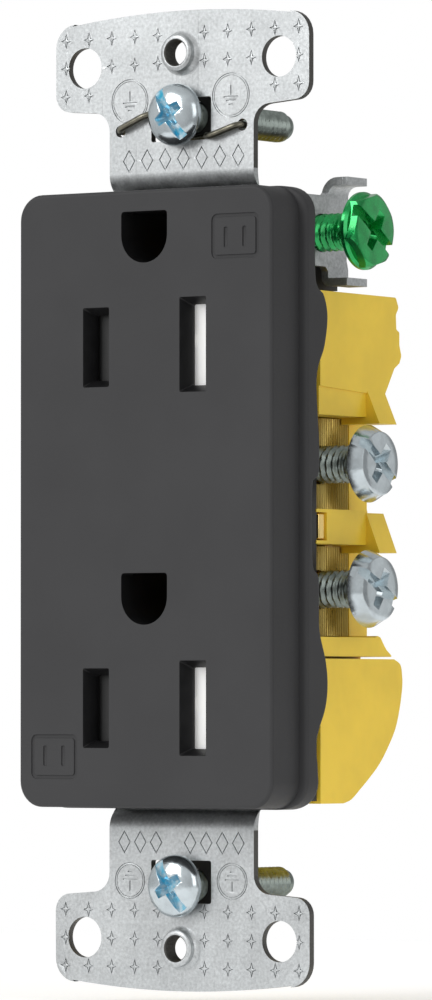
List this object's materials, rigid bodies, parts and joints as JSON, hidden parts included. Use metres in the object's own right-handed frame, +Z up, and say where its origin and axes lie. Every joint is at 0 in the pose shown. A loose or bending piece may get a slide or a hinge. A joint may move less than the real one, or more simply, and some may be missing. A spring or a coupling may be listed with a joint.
{
  "type": "duplex wall outlet",
  "caption": "Rectangular-face duplex wall outlet on a metal strap, with shuttered slots, break-off tabs and side screw terminals for flush mounting in a wall box.",
  "frame": {"origin": "midway between the two mounting screws, in the front plane of the strap's ears", "axes": "+X right, +Y back into the wall, +Z up, seen from the room"},
  "size_m": [0.037, 0.03, 0.1062],
  "materials": {
    "charcoal_nylon": "fine moulded texture, satin",
    "yellow_body": "satin thermoplastic",
    "black_plastic": "satin moulded",
    "white_plastic": "smooth acetal",
    "galvanised_steel": "galvanised sheet, die-cut edges",
    "zinc_screw": "blue-clear zinc plating",
    "brass_strip": "half-bright brass",
    "nickel_strip": "nickel-plated brass",
    "green_screw": "green-dyed zinc plating",
    "spring_steel": "drawn wire",
    "fibre": "vulcanised fibre"
  },
  "bodies": {
    "device": {"assembly_screw_lower": "galvanised_steel", "assembly_screw_upper": "galvanised_steel", "auto_ground_wire": "spring_steel", "back_body": "yellow_body", "front_cover": "charcoal_nylon", "ground_contact_lower": "brass_strip", "ground_contact_upper": "brass_strip", "ground_rivet_lower_high": "nickel_strip", "ground_rivet_lower_low": "nickel_strip", "ground_rivet_upper_high": "nickel_strip", "ground_rivet_upper_low": "nickel_strip", "inner_insulator": "black_plastic", "line_bus": "brass_strip", "line_shutter_spring_lower": "spring_steel", "line_shutter_spring_upper": "spring_steel", "line_wire_clip_lower": "brass_strip", "line_wire_clip_upper": "brass_strip", "mounting_strap": "galvanised_steel", "neutral_bus": "nickel_strip", "neutral_shutter_spring_lower": "spring_steel", "neutral_shutter_spring_upper": "spring_steel", "neutral_wire_clip_lower": "brass_strip", "neutral_wire_clip_upper": "brass_strip", "shutter_tray_lower": "black_plastic", "shutter_tray_upper": "black_plastic"},
    "mounting_screw_upper": {"mounting_screw_upper": "zinc_screw", "captive_washer_upper": "fibre"},
    "mounting_screw_lower": {"mounting_screw_lower": "zinc_screw", "captive_washer_lower": "fibre"},
    "neutral_screw_upper": {"neutral_screw_upper": "zinc_screw"},
    "neutral_screw_lower": {"neutral_screw_lower": "zinc_screw"},
    "line_screw_upper": {"line_screw_upper": "brass_strip"},
    "line_screw_lower": {"line_screw_lower": "brass_strip"},
    "ground_screw": {"ground_screw": "green_screw"},
    "neutral_shutter_upper": {"neutral_shutter_upper": "white_plastic"},
    "line_shutter_upper": {"line_shutter_upper": "black_plastic"},
    "neutral_shutter_lower": {"neutral_shutter_lower": "white_plastic"},
    "line_shutter_lower": {"line_shutter_lower": "black_plastic"}
  },
  "joints": [
    {"name": "mounting_screw_upper_turn", "type": "hinge", "parent": "device", "child": "mounting_screw_upper", "pos_m": [0, 0, 0.04167], "axis": [0, 1, 0], "continuous": true},
    {"name": "mounting_screw_lower_turn", "type": "hinge", "parent": "device", "child": "mounting_screw_lower", "pos_m": [0, 0, -0.04167], "axis": [0, 1, 0], "continuous": true},
    {"name": "neutral_screw_upper_travel", "type": "slide", "parent": "device", "child": "neutral_screw_upper", "axis": [-1, 0, 0], "range_m": [0, 0.006]},
    {"name": "neutral_screw_lower_travel", "type": "slide", "parent": "device", "child": "neutral_screw_lower", "axis": [-1, 0, 0], "range_m": [0, 0.006]},
    {"name": "line_screw_upper_travel", "type": "slide", "parent": "device", "child": "line_screw_upper", "axis": [1, 0, 0], "range_m": [0, 0.006]},
    {"name": "line_screw_lower_travel", "type": "slide", "parent": "device", "child": "line_screw_lower", "axis": [1, 0, 0], "range_m": [0, 0.006]},
    {"name": "ground_screw_travel", "type": "slide", "parent": "device", "child": "ground_screw", "axis": [-1, 0, 0], "range_m": [0, 0.0048]},
    {"name": "neutral_shutter_upper_slide", "type": "slide", "parent": "device", "child": "neutral_shutter_upper", "axis": [1, 0, 0], "range_m": [0, 0.0033], "stiffness_N_per_m": 60, "springref_m": -0.002, "deforming": ["neutral_shutter_spring_upper"]},
    {"name": "line_shutter_upper_slide", "type": "slide", "parent": "device", "child": "line_shutter_upper", "axis": [-1, 0, 0], "range_m": [0, 0.0033], "stiffness_N_per_m": 60, "springref_m": -0.002, "deforming": ["line_shutter_spring_upper"]},
    {"name": "neutral_shutter_lower_slide", "type": "slide", "parent": "device", "child": "neutral_shutter_lower", "axis": [1, 0, 0], "range_m": [0, 0.0033], "stiffness_N_per_m": 60, "springref_m": -0.002, "deforming": ["neutral_shutter_spring_lower"]},
    {"name": "line_shutter_lower_slide", "type": "slide", "parent": "device", "child": "line_shutter_lower", "axis": [-1, 0, 0], "range_m": [0, 0.0033], "stiffness_N_per_m": 60, "springref_m": -0.002, "deforming": ["line_shutter_spring_lower"]}
  ],
  "couplings": [
    {"joint": "line_shutter_upper_slide", "follows": "neutral_shutter_upper_slide", "ratio": 1},
    {"joint": "line_shutter_lower_slide", "follows": "neutral_shutter_lower_slide", "ratio": 1}
  ]
}
